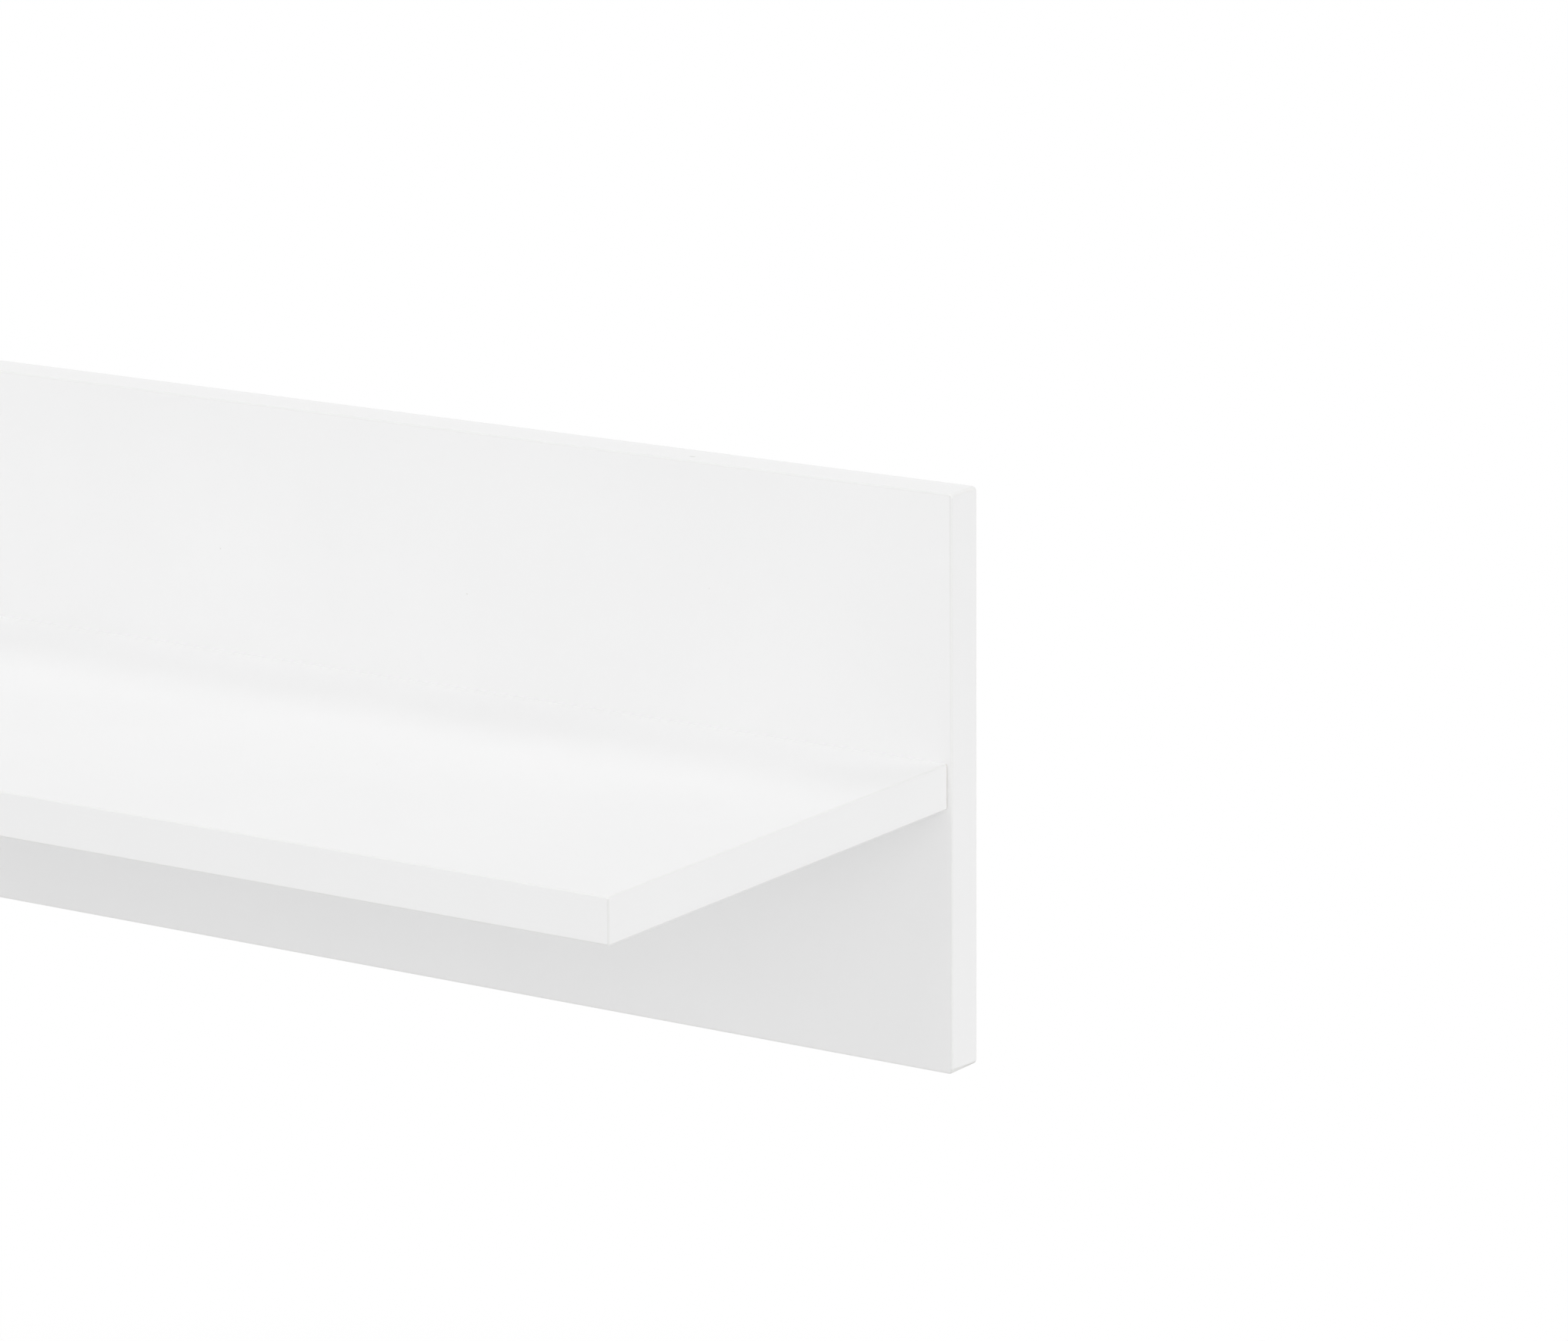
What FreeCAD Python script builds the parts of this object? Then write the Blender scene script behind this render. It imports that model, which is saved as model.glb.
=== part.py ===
"""Floating wall shelf of sideways-T section.

An upright back panel lies flat on the wall and carries a shelf board that is
butt-joined to its front, at mid-height. Both boards are chipboard with a
melamine facing on each face and a thin plastic band on each visible edge.
Screws and dowels from behind join them, and three keyhole plates let into
the panel's rear hang the shelf on the wall.

Frame: millimetres, origin at the middle of the panel's rear (wall) face,
+X along the shelf, +Y into the wall, +Z up.
"""
import FreeCAD, Part
import math
import os

# ---- driving dimensions -------------------------------------------------

# boards
panel_length = 1200.0
panel_height = 204.0
shelf_depth = 200.0
board_thickness = 16.0
end_inset = 2.0            # each end of the shelf stands this far inside the panel's end
facing_thickness = 0.3
band_thickness = 0.8
arris_radius = 0.7         # long edges of the bands, trimmed after gluing
panel_corner_radius = 1.8  # the panel's four corners, seen from the front
band_left = 0.1            # least band that trimming leaves over the core
end_band_relief = 0.4      # gap between the shelf's end bands and the panel

# screws that join the boards: 7 x 50 mm, countersunk, hex socket
joint_screw_count = 6
joint_screw_margin = 50.0  # from the panel's end to the first screw
joint_screw_length = 50.0
joint_screw_neck_end = 14.0
joint_screw_tip_length = 3.0
joint_screw_head_radius = 5.0
joint_screw_neck_radius = 3.5
joint_screw_root_radius = 2.4
joint_screw_rim = 0.5
joint_screw_cone = 3.0
joint_screw_pitch = 3.0
joint_screw_crest = 0.4
joint_screw_hex = 4.0      # across flats
joint_screw_hex_depth = 2.8

# dowels between the screws: 8 x 30 mm beech, fluted
dowel_radius = 4.0
dowel_length = 30.0
dowel_in_panel = 10.0
dowel_chamfer = 1.0
dowel_flute_count = 12
dowel_flute_radius = 0.5

# keyhole plates let into the panel's rear
hanger_margin = 120.0      # from the panel's end to the first plate's middle
hanger_drop = 47.0         # from the panel's top edge to the plate's middle
hanger_width = 26.0
hanger_height = 64.0
hanger_thickness = 2.0
hanger_corner_radius = 5.0
keyhole_entry_radius = 5.0
keyhole_slot_width = 5.0
keyhole_rise = 14.0        # from the entry hole's centre to the slot's top centre
pocket_room = 7.0          # round the keyhole's two end centres, for the wall screw's head
pocket_depth = 7.0         # behind the plate
pocket_corner_radius = 4.0

# wood screws that hold the plates: 3.5 x 12 mm, countersunk, cross recess
plate_screw_margin = 8.0   # from the plate's end to the screw's centre
plate_screw_length = 12.0
plate_screw_head_radius = 3.4
plate_screw_shank_radius = 1.75
plate_screw_root_radius = 1.2
plate_screw_rim = 0.3
plate_screw_cone = 1.6
plate_screw_pitch = 1.5
plate_screw_crest = 0.2
plate_screw_tip_length = 3.0
plate_screw_recess_span = 3.6
plate_screw_recess_width = 0.8
plate_screw_recess_depth = 1.2

# clearances
screw_clearance = 0.1      # round a screw or a dowel in its bore
bore_end_clearance = 1.0   # past the tip of a screw or a dowel
plate_clearance = 0.2      # round a keyhole plate in its recess
sink = 0.2                 # heads and plates lie this far under the panel's rear face

# ---- places worked out from them ----------------------------------------

half_length = panel_length / 2
half_height = panel_height / 2
panel_front = -board_thickness
shelf_half_length = half_length - end_inset
shelf_front = panel_front - shelf_depth
shelf_half_thickness = board_thickness / 2
core_thickness = board_thickness - 2 * facing_thickness
band_arris = min(arris_radius, band_thickness - band_left)
deepest_corner = (band_thickness * math.sqrt(2) - band_left) / (math.sqrt(2) - 1)
corner_radius = min(panel_corner_radius, deepest_corner)

joint_screw_span = panel_length - 2 * joint_screw_margin
joint_screw_step = joint_screw_span / (joint_screw_count - 1)
joint_screw_places = [
    -joint_screw_span / 2 + index * joint_screw_step for index in range(joint_screw_count)
]
dowel_places = [place + joint_screw_step / 2 for place in joint_screw_places[:-1]]
hanger_span = panel_length - 2 * hanger_margin
hanger_places = {
    "left": -hanger_span / 2,
    "centre": 0.0,
    "right": hanger_span / 2,
}
hanger_centre_height = half_height - hanger_drop
keyhole_heights = (
    hanger_centre_height - keyhole_rise / 2,
    hanger_centre_height + keyhole_rise / 2,
)
plate_screw_reach = hanger_height / 2 - plate_screw_margin
plate_screw_heights = {
    "upper": hanger_centre_height + plate_screw_reach,
    "lower": hanger_centre_height - plate_screw_reach,
}
plate_rear = -sink
plate_front = plate_rear - hanger_thickness
past_face = 1.0            # how far a cutting solid runs out through the rear face

RIGHT = FreeCAD.Vector(1, 0, 0)
FRONT = FreeCAD.Vector(0, -1, 0)
BACK = FreeCAD.Vector(0, 1, 0)
UP = FreeCAD.Vector(0, 0, 1)


def block(x_range, y_range, z_range):
    """Box between two values on each axis."""
    (x0, x1), (y0, y1), (z0, z1) = x_range, y_range, z_range
    return Part.makeBox(x1 - x0, y1 - y0, z1 - z0, FreeCAD.Vector(x0, y0, z0))


def edges_where(shape, test):
    """Edges whose middle point passes the test."""
    return [edge for edge in shape.Edges if test(edge.CenterOfMass)]


def export(name, shape):
    """Write one node, which may be a single solid only."""
    if len(shape.Solids) != 1 or not shape.isValid():
        raise ValueError(name + " is not one valid solid")
    shape.Solids[0].exportStep("parts/" + name + ".step")


def rounded_slab(width, height, radius, thickness, centre):
    """Slab in the XZ plane with round corners, its front face at the centre point."""
    slab = block(
        (centre.x - width / 2, centre.x + width / 2),
        (centre.y, centre.y + thickness),
        (centre.z - height / 2, centre.z + height / 2),
    )
    corners = edges_where(slab, lambda point: abs(point.y - centre.y - thickness / 2) < 1e-6)
    return slab.makeFillet(radius, corners)


def upright_slot(x, heights, width, y_range):
    """Round-ended slot between two end centres, one above the other."""
    depth = y_range[1] - y_range[0]
    ends = [
        Part.makeCylinder(width / 2, depth, FreeCAD.Vector(x, y_range[0], z), BACK)
        for z in heights
    ]
    return block((x - width / 2, x + width / 2), y_range, heights).fuse(ends).removeSplitter()


# ---- turned hardware ----------------------------------------------------

def turned(profile, start):
    """Turn (radius, distance) points about the line from start towards the front."""
    points = [FreeCAD.Vector(radius, 0, distance) for radius, distance in profile]
    face = Part.Face(Part.makePolygon(points + points[:1]))
    solid = face.revolve(FreeCAD.Vector(0, 0, 0), UP, 360)
    solid.rotate(FreeCAD.Vector(0, 0, 0), RIGHT, 90)
    solid.translate(start)
    return solid


def head_profile(head_radius, rim, cone, shank_radius):
    """Flat top, short rim and countersunk cone of a screw head."""
    return [(0, 0), (head_radius, 0), (head_radius, rim), (shank_radius, rim + cone)]


def thread_profile(start, end, pitch, crest, root_radius, crest_radius):
    """Sharp-flanked ridges, one for each turn of the thread."""
    flank = (pitch - crest) / 3
    profile = []
    for turn in range(int((end - start) // pitch)):
        foot = start + turn * pitch
        profile += [
            (root_radius, foot),
            (crest_radius, foot + flank),
            (crest_radius, foot + flank + crest),
            (root_radius, foot + 2 * flank + crest),
        ]
    return profile


def joint_screw(x):
    """Connecting screw of the shelf, driven from the panel's rear."""
    profile = head_profile(
        joint_screw_head_radius, joint_screw_rim, joint_screw_cone, joint_screw_neck_radius
    )
    profile.append((joint_screw_neck_radius, joint_screw_neck_end))
    thread_end = joint_screw_length - joint_screw_tip_length
    profile += thread_profile(
        joint_screw_neck_end,
        thread_end,
        joint_screw_pitch,
        joint_screw_crest,
        joint_screw_root_radius,
        joint_screw_neck_radius,
    )
    profile += [
        (joint_screw_root_radius, thread_end),
        (joint_screw_root_radius / 2, joint_screw_length),
        (0, joint_screw_length),
    ]
    start = FreeCAD.Vector(x, -sink, 0)
    circumradius = joint_screw_hex / 2 / math.cos(math.pi / 6)
    corners = [
        start + FreeCAD.Vector(
            circumradius * math.cos(math.radians(60 * corner)),
            0,
            circumradius * math.sin(math.radians(60 * corner)),
        )
        for corner in range(7)
    ]
    socket = Part.Face(Part.makePolygon(corners)).extrude(FRONT * joint_screw_hex_depth)
    return turned(profile, start).cut(socket)


def joint_screw_bore(x):
    """Countersunk bore of a connecting screw, through the panel into the shelf."""
    head = joint_screw_head_radius + screw_clearance
    neck = joint_screw_neck_radius + screw_clearance
    depth = joint_screw_length + bore_end_clearance
    profile = [
        (0, -past_face - sink),
        (head, -past_face - sink),
        (head, joint_screw_rim),
        (neck, joint_screw_rim + joint_screw_cone),
        (neck, depth),
        (0, depth),
    ]
    return turned(profile, FreeCAD.Vector(x, -sink, 0))


def dowel(x):
    """Fluted beech dowel across the joint."""
    profile = [
        (0, 0),
        (dowel_radius - dowel_chamfer, 0),
        (dowel_radius, dowel_chamfer),
        (dowel_radius, dowel_length - dowel_chamfer),
        (dowel_radius - dowel_chamfer, dowel_length),
        (0, dowel_length),
    ]
    start = FreeCAD.Vector(x, panel_front + dowel_in_panel, 0)
    pin = turned(profile, start)
    flutes = []
    for flute in range(dowel_flute_count):
        angle = 2 * math.pi * flute / dowel_flute_count
        place = start + FreeCAD.Vector(
            dowel_radius * math.cos(angle), 0, dowel_radius * math.sin(angle)
        )
        flutes.append(Part.makeCylinder(dowel_flute_radius, dowel_length, place, FRONT))
    return pin.cut(flutes)


def dowel_bore(x):
    """Blind bore for a dowel in both boards."""
    deepest = FreeCAD.Vector(x, panel_front + dowel_in_panel + bore_end_clearance, 0)
    length = dowel_length + 2 * bore_end_clearance
    return Part.makeCylinder(dowel_radius + screw_clearance, length, deepest, FRONT)


def plate_screw(x, z):
    """Wood screw of a keyhole plate."""
    profile = head_profile(
        plate_screw_head_radius, plate_screw_rim, plate_screw_cone, plate_screw_shank_radius
    )
    thread_start = max(hanger_thickness, plate_screw_rim + plate_screw_cone)
    thread_end = plate_screw_length - plate_screw_tip_length
    profile.append((plate_screw_shank_radius, thread_start))
    profile += thread_profile(
        thread_start,
        thread_end,
        plate_screw_pitch,
        plate_screw_crest,
        plate_screw_root_radius,
        plate_screw_shank_radius,
    )
    profile += [(plate_screw_root_radius, thread_end), (0, plate_screw_length)]
    start = FreeCAD.Vector(x, plate_rear, z)
    half_span = plate_screw_recess_span / 2
    half_width = plate_screw_recess_width / 2
    depth = (plate_rear - plate_screw_recess_depth, plate_rear)
    across = block((x - half_span, x + half_span), depth, (z - half_width, z + half_width))
    upright = block((x - half_width, x + half_width), depth, (z - half_span, z + half_span))
    return turned(profile, start).cut([across, upright])


def plate_screw_bore(x, z):
    """Countersunk bore of a plate's screw, through the plate into the core."""
    head = plate_screw_head_radius + screw_clearance
    shank = plate_screw_shank_radius + screw_clearance
    depth = plate_screw_length + bore_end_clearance
    profile = [
        (0, -past_face),
        (head, -past_face),
        (head, plate_screw_rim),
        (shank, plate_screw_rim + plate_screw_cone),
        (shank, depth),
        (0, depth),
    ]
    return turned(profile, FreeCAD.Vector(x, plate_rear, z))


# ---- keyhole plates and their recesses ----------------------------------

def keyhole(x):
    """Round entry hole with a round-ended slot rising from it."""
    through = (plate_front - past_face, plate_rear + past_face)
    slot = upright_slot(x, keyhole_heights, keyhole_slot_width, through)
    entry_centre = FreeCAD.Vector(x, through[0], keyhole_heights[0])
    entry = Part.makeCylinder(keyhole_entry_radius, through[1] - through[0], entry_centre, BACK)
    return entry.fuse(slot).removeSplitter()


def hanger_plate(x):
    """Steel keyhole plate with two countersunk screw holes."""
    centre = FreeCAD.Vector(x, plate_front, hanger_centre_height)
    plate = rounded_slab(
        hanger_width, hanger_height, hanger_corner_radius, hanger_thickness, centre
    )
    screws = [plate_screw_bore(x, z) for z in plate_screw_heights.values()]
    return plate.cut([keyhole(x)] + screws)


def hanger_recess(x):
    """Everything that a plate takes out of the panel: its seat, and the wall screw's pocket."""
    seat = rounded_slab(
        hanger_width + 2 * plate_clearance,
        hanger_height + 2 * plate_clearance,
        hanger_corner_radius + plate_clearance,
        sink + hanger_thickness + past_face,
        FreeCAD.Vector(x, plate_front, hanger_centre_height),
    )
    pocket = rounded_slab(
        2 * pocket_room,
        2 * pocket_room + keyhole_rise,
        pocket_corner_radius,
        pocket_depth + hanger_thickness,
        FreeCAD.Vector(x, plate_front - pocket_depth, hanger_centre_height),
    )
    screws = [plate_screw_bore(x, z) for z in plate_screw_heights.values()]
    return [seat, pocket] + screws


def panel_cuts():
    """All recesses and bores that are worked into the panel."""
    cuts = []
    for x in hanger_places.values():
        cuts += hanger_recess(x)
    return cuts + joint_bores()


def joint_bores():
    """Bores of the screws and dowels, which run through the joint into the shelf."""
    bores = [joint_screw_bore(x) for x in joint_screw_places]
    return bores + [dowel_bore(x) for x in dowel_places]


# ---- back panel ---------------------------------------------------------

def panel_outline():
    """The finished panel's outside, with round corners and trimmed arrises."""
    outline = block(
        (-half_length, half_length), (panel_front, 0), (-half_height, half_height)
    )
    corners = edges_where(outline, lambda point: abs(point.y - panel_front / 2) < 1e-6)
    outline = outline.makeFillet(corner_radius, corners)
    rims = edges_where(
        outline, lambda point: min(abs(point.y), abs(point.y - panel_front)) < 1e-6
    )
    return outline.makeFillet(band_arris, rims)


def build_panel():
    """Core, two facings and four edge bands of the back panel."""
    outline = panel_outline()
    inner_x = (-half_length + band_thickness, half_length - band_thickness)
    inner_z = (-half_height + band_thickness, half_height - band_thickness)
    whole_x = (-half_length, half_length)
    whole_y = (panel_front, 0)
    front_glue = panel_front + facing_thickness
    rear_glue = -facing_thickness
    cuts = panel_cuts()

    front_facing = block(inner_x, (panel_front, front_glue), inner_z)
    rear_facing = block(inner_x, (rear_glue, 0), inner_z)
    export("back_panel_core", block(inner_x, (front_glue, rear_glue), inner_z).cut(cuts))
    export("back_panel_front_facing", front_facing.cut(joint_bores()))
    export("back_panel_rear_facing", rear_facing.cut(cuts))

    bands = {
        "top": block(whole_x, whole_y, (inner_z[1], half_height)),
        "bottom": block(whole_x, whole_y, (-half_height, inner_z[0])),
        "left": block((-half_length, inner_x[0]), whole_y, inner_z),
        "right": block((inner_x[1], half_length), whole_y, inner_z),
    }
    for side, room in bands.items():
        export("back_panel_" + side + "_band", outline.common(room))


# ---- shelf board --------------------------------------------------------

def shelf_outline():
    """The finished shelf board's outside: a raw, square rear edge and trimmed others."""
    outline = block(
        (-shelf_half_length, shelf_half_length),
        (shelf_front, panel_front),
        (-shelf_half_thickness, shelf_half_thickness),
    )
    trimmed = edges_where(outline, lambda point: point.y < panel_front - 1e-6)
    return outline.makeFillet(band_arris, trimmed)


def build_shelf():
    """Core, two facings and three edge bands of the shelf board."""
    outline = shelf_outline()
    inner_x = (-shelf_half_length + band_thickness, shelf_half_length - band_thickness)
    core_y = (shelf_front + band_thickness, panel_front)
    end_y = (core_y[0], panel_front - end_band_relief)
    whole_x = (-shelf_half_length, shelf_half_length)
    whole_z = (-shelf_half_thickness, shelf_half_thickness)
    core_z = (-core_thickness / 2, core_thickness / 2)

    export("shelf_core", block(inner_x, core_y, core_z).cut(joint_bores()))
    export("shelf_top_facing", block(inner_x, core_y, (core_z[1], whole_z[1])))
    export("shelf_bottom_facing", block(inner_x, core_y, (whole_z[0], core_z[0])))

    bands = {
        "front": block(whole_x, (shelf_front, core_y[0]), whole_z),
        "left": block((whole_x[0], inner_x[0]), end_y, whole_z),
        "right": block((inner_x[1], whole_x[1]), end_y, whole_z),
    }
    for side, room in bands.items():
        export("shelf_" + side + "_band", outline.common(room))


# ---- fixings ------------------------------------------------------------

def build_fixings():
    """Connecting screws, dowels, keyhole plates and the plates' screws."""
    for number, x in enumerate(joint_screw_places, start=1):
        export("joint_screw_" + str(number), joint_screw(x))
    for number, x in enumerate(dowel_places, start=1):
        export("joint_dowel_" + str(number), dowel(x))
    for side, x in hanger_places.items():
        export("hanger_plate_" + side, hanger_plate(x))
        for level, z in plate_screw_heights.items():
            export("hanger_screw_" + side + "_" + level, plate_screw(x, z))


os.makedirs("parts", exist_ok=True)
build_panel()
build_shelf()
build_fixings()
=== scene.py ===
"""Floating wall shelf of sideways-T section, in white melamine-faced chipboard."""

import math

import bpy
import numpy as np
from mathutils import Matrix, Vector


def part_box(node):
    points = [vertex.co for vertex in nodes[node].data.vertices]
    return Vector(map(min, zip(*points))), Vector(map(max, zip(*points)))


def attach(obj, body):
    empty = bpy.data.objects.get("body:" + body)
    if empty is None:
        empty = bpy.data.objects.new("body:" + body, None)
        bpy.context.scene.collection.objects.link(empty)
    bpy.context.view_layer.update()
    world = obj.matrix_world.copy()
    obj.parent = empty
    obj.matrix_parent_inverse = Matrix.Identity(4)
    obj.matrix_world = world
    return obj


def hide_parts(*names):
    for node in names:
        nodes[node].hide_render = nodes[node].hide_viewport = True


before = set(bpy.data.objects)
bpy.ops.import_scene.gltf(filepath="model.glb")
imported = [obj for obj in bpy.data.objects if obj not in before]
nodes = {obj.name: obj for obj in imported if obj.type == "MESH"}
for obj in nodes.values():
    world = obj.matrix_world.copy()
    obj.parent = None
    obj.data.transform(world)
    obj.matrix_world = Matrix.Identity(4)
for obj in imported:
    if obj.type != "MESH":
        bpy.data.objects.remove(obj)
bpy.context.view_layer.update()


# ---- chipboard cores -----------------------------------------------------
# Both boards are three-layer chipboard: wood chips and urea resin, pressed hot
# and sanded. Coarse chips fill the middle and fine ones the outer layers, which
# shows where the pockets and bores cut through them.

def linear(hex_colour):
    """An sRGB hex colour as linear RGBA: the lower part divided by 12.92, the rest
    ((c + 0.055) / 1.055) to the power 2.4."""
    srgb = np.array([int(hex_colour[i:i + 2], 16) for i in (1, 3, 5)]) / 255
    flat = np.where(srgb <= 0.04045, srgb / 12.92, ((srgb + 0.055) / 1.055) ** 2.4)
    return (*flat.tolist(), 1.0)


def add(material, kind, links=None, **settings):
    """Adds one node: links names its inputs and the sockets or values that feed
    them, and settings are its own properties."""
    node = material.node_tree.nodes.new(kind)
    for name, value in settings.items():
        setattr(node, name, value)
    for name, source in (links or {}).items():
        socket = node.inputs[name]
        if isinstance(source, bpy.types.NodeSocket):
            material.node_tree.links.new(source, socket)
        else:
            socket.default_value = source
    return node


def new_material(name):
    """An empty node material, its output and its object coordinates."""
    material = bpy.data.materials.new(name)
    material.use_nodes = True
    material.node_tree.nodes.clear()
    output = add(material, "ShaderNodeOutputMaterial")
    place = add(material, "ShaderNodeTexCoord").outputs["Object"]
    return material, output, place


def finish_surface(material, output, colour, roughness, height, depth, **values):
    """Principled surface with a colour, a roughness and a bump of that depth in metres;
    values are its IOR or its Metallic."""
    bump = add(material, "ShaderNodeBump",
               {"Strength": 1.0, "Distance": depth, "Height": height})
    surface = add(material, "ShaderNodeBsdfPrincipled",
                  {"Base Color": colour, "Roughness": roughness,
                   "Normal": bump.outputs["Normal"], **values})
    material.node_tree.links.new(surface.outputs["BSDF"], output.inputs["Surface"])


def dress(names, material):
    """Gives the CAD nodes of these names one material."""
    for name in names:
        nodes[name].material_slots[0].material = material


def chips(material, place, axis, length, thickness):
    """Flat wood chips of one size lying in the board's plane: cells, each of its own tone."""
    squeeze = [1 / length] * 3
    squeeze[axis] = 1 / thickness
    pressed = add(material, "ShaderNodeMapping", {"Vector": place, "Scale": squeeze})
    cells = add(material, "ShaderNodeTexVoronoi",
                {"Vector": pressed.outputs["Vector"], "Scale": 1.0}, feature="F1")
    tone = add(material, "ShaderNodeSeparateColor", {"Color": cells.outputs["Color"]})
    chip = add(material, "ShaderNodeMix",
               {0: tone.outputs["Red"], 6: linear("#B48C5C"), 7: linear("#DCC196")},
               data_type="RGBA")
    return chip.outputs[2], cells.outputs["Distance"]


def chipboard(name, axis, middle):
    """Three-layer chipboard whose thickness runs along an axis about a middle plane."""
    material, output, place = new_material(name)
    coarse, coarse_relief = chips(material, place, axis, 0.005, 0.0012)
    fine, fine_relief = chips(material, place, axis, 0.0012, 0.0005)
    parts = add(material, "ShaderNodeSeparateXYZ", {0: place})
    offset = add(material, "ShaderNodeMath", {0: parts.outputs[axis], 1: middle},
                 operation="SUBTRACT")
    off_middle = add(material, "ShaderNodeMath", {0: offset.outputs[0]}, operation="ABSOLUTE")
    # the coarse middle layer is 9 mm of the 16 mm and turns fine over 0.8 mm
    outer = add(material, "ShaderNodeMapRange",
                {"Value": off_middle.outputs[0], "From Min": 0.0042, "From Max": 0.0050})
    layer = outer.outputs["Result"]
    chip = add(material, "ShaderNodeMix", {0: layer, 6: coarse, 7: fine}, data_type="RGBA")
    relief = add(material, "ShaderNodeMix", {0: layer, 2: coarse_relief, 3: fine_relief},
                 data_type="FLOAT")
    # dark resin and bark dust between the chips, in spots of 1.5 mm
    dust = add(material, "ShaderNodeTexNoise", {"Vector": place, "Scale": 1 / 0.0015,
                                                "Detail": 4.0, "Roughness": 0.7})
    resin = add(material, "ShaderNodeMapRange",
                {"Value": dust.outputs["Fac"], "From Min": 0.56, "From Max": 0.72,
                 "To Max": 0.6})
    board = add(material, "ShaderNodeMix",
                {0: resin.outputs["Result"], 6: chip.outputs[2], 7: linear("#7E5F3E")},
                data_type="RGBA")
    painted_tone = add(material, "ShaderNodeMapRange",
               {"Value": dust.outputs["Fac"], "To Min": 0.78, "To Max": 0.92})
    finish_surface(material, output, board.outputs[2], painted_tone.outputs["Result"],
                   relief.outputs[0], 0.0002, IOR=1.5)
    return material


panel_low, panel_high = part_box("back_panel_core")
shelf_low, shelf_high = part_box("shelf_core")
dress(["back_panel_core"],
      chipboard("chipboard_upright", 1, (panel_low.y + panel_high.y) / 2))
dress(["shelf_core"], chipboard("chipboard_level", 2, (shelf_low.z + shelf_high.z) / 2))


# ---- melamine facings ----------------------------------------------------
# The four broad faces of the two boards: white decor paper soaked in melamine
# resin and pressed onto the chipboard against a fine pearl plate. The press
# leaves a satin skin with a pearl grain and, here and there, a pigment fleck.

def melamine_paper():
    """White melamine paper, pearl finish: satin, dead even, neutral white."""
    material, output, place = new_material("melamine_paper_white")
    # pearl grain of the press plate, 0.6 mm from bump to bump
    pearl = add(material, "ShaderNodeTexNoise",
                {"Vector": place, "Scale": 1 / 0.0006, "Detail": 2.0, "Roughness": 0.6})
    # faint clouds in the resin skin, about 90 mm wide
    clouds = add(material, "ShaderNodeTexNoise",
                 {"Vector": place, "Scale": 1 / 0.09, "Detail": 3.0, "Roughness": 0.55})
    tone = add(material, "ShaderNodeMix",
               {0: clouds.outputs["Fac"], 6: linear("#EFEFEF"), 7: linear("#F3F3F3")},
               data_type="RGBA")
    # pigment flecks up to 0.6 mm across: one to each 18 mm cube, so that a face
    # cuts one in about 100 mm each way
    cells = add(material, "ShaderNodeTexVoronoi", {"Vector": place, "Scale": 1 / 0.018},
                feature="F1")
    spot = add(material, "ShaderNodeMapRange",
               {"Value": cells.outputs["Distance"], "From Min": 0.010, "From Max": 0.018,
                "To Min": 1.0, "To Max": 0.0})
    fleck = add(material, "ShaderNodeMix",
                {0: spot.outputs["Result"], 6: tone.outputs[2], 7: linear("#DDDCD8")},
                data_type="RGBA")
    sheen = add(material, "ShaderNodeMapRange",
                {"Value": pearl.outputs["Fac"], "To Min": 0.40, "To Max": 0.50})
    finish_surface(material, output, fleck.outputs[2], sheen.outputs["Result"],
                   pearl.outputs["Fac"], 0.000006, IOR=1.5)
    return material


facings = ["back_panel_front_facing", "back_panel_rear_facing",
           "shelf_top_facing", "shelf_bottom_facing"]
dress(facings, melamine_paper())


# ---- edge bands ----------------------------------------------------------
# White ABS bands, 0.8 mm, extruded and lacquered to match the paper, glued on
# hot and trimmed flush. Their rounded long edges carry painted shade, and so do
# the panel's lower end corners, where the rounds turn down.

panel_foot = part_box("back_panel_bottom_band")[0].z


def painted_shade_on_rounds(material):
    """Masks of the painted shade on the rounds of the upright, the lengthwise and the
    crosswise edges, from the surface's own direction: there the product of two of its
    parts is up to a half."""
    facing = add(material, "ShaderNodeTexCoord").outputs["Normal"]
    size = add(material, "ShaderNodeVectorMath", {0: facing}, operation="ABSOLUTE")
    parts = add(material, "ShaderNodeSeparateXYZ", {0: size.outputs["Vector"]})
    sideways, forwards, upwards = parts.outputs
    masks = []
    for one, other in ((forwards, sideways), (forwards, upwards), (sideways, upwards)):
        product = add(material, "ShaderNodeMath", {0: one, 1: other}, operation="MULTIPLY")
        mask = add(material, "ShaderNodeMapRange",
                   {"Value": product.outputs[0], "From Min": 0.05, "From Max": 0.40})
        masks.append(mask.outputs["Result"])
    return masks, sideways


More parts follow.
